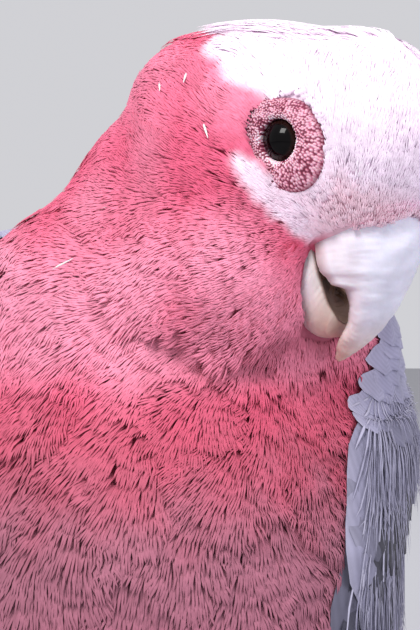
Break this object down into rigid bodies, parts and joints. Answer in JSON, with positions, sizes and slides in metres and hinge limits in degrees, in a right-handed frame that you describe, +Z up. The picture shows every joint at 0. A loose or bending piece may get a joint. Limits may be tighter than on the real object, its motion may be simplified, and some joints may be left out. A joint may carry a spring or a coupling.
{
  "type": "galah",
  "caption": "Life-size still model of a standing galah with its head turned to its left and its wings folded, for display.",
  "frame": {"origin": "middle of the bird's outline in plan, at the floor that it stands on", "axes": "+Z up, -Y the way the breast faces, +X the bird's left, across the folded wings"},
  "size_m": [0.0964, 0.2274, 0.2264],
  "materials": {
    "plumage": "rose-pink feathers, soft",
    "crest": "pale pink feathers, soft",
    "wing": "grey feathers, soft",
    "flight": "dark grey feathers, satin",
    "eye": "wet gloss",
    "bare_ring": "fine granular skin, matt",
    "bill": "bone-coloured horn, satin",
    "leg_skin": "scaly skin, matt",
    "claw": "dark horn, satin"
  },
  "bodies": {
    "root": {"head": "plumage", "neck": "plumage", "trunk": "plumage", "crest": "crest", "bill_upper": "bill", "bill_lower": "bill", "tail": "flight", "eye_left": "eye", "eye_ring_left": "bare_ring", "wing_left_coverts": "wing", "wing_left_secondaries": "wing", "wing_left_primaries": "flight", "thigh_left": "plumage", "shank_left": "leg_skin", "foot_left": "leg_skin", "claw_left_inner_front": "claw", "claw_left_outer_front": "claw", "claw_left_inner_back": "claw", "claw_left_outer_back": "claw", "eye_right": "eye", "eye_ring_right": "bare_ring", "wing_right_coverts": "wing", "wing_right_secondaries": "wing", "wing_right_primaries": "flight", "thigh_right": "plumage", "shank_right": "leg_skin", "foot_right": "leg_skin", "claw_right_inner_front": "claw", "claw_right_outer_front": "claw", "claw_right_inner_back": "claw", "claw_right_outer_back": "claw"}
  },
  "joints": []
}
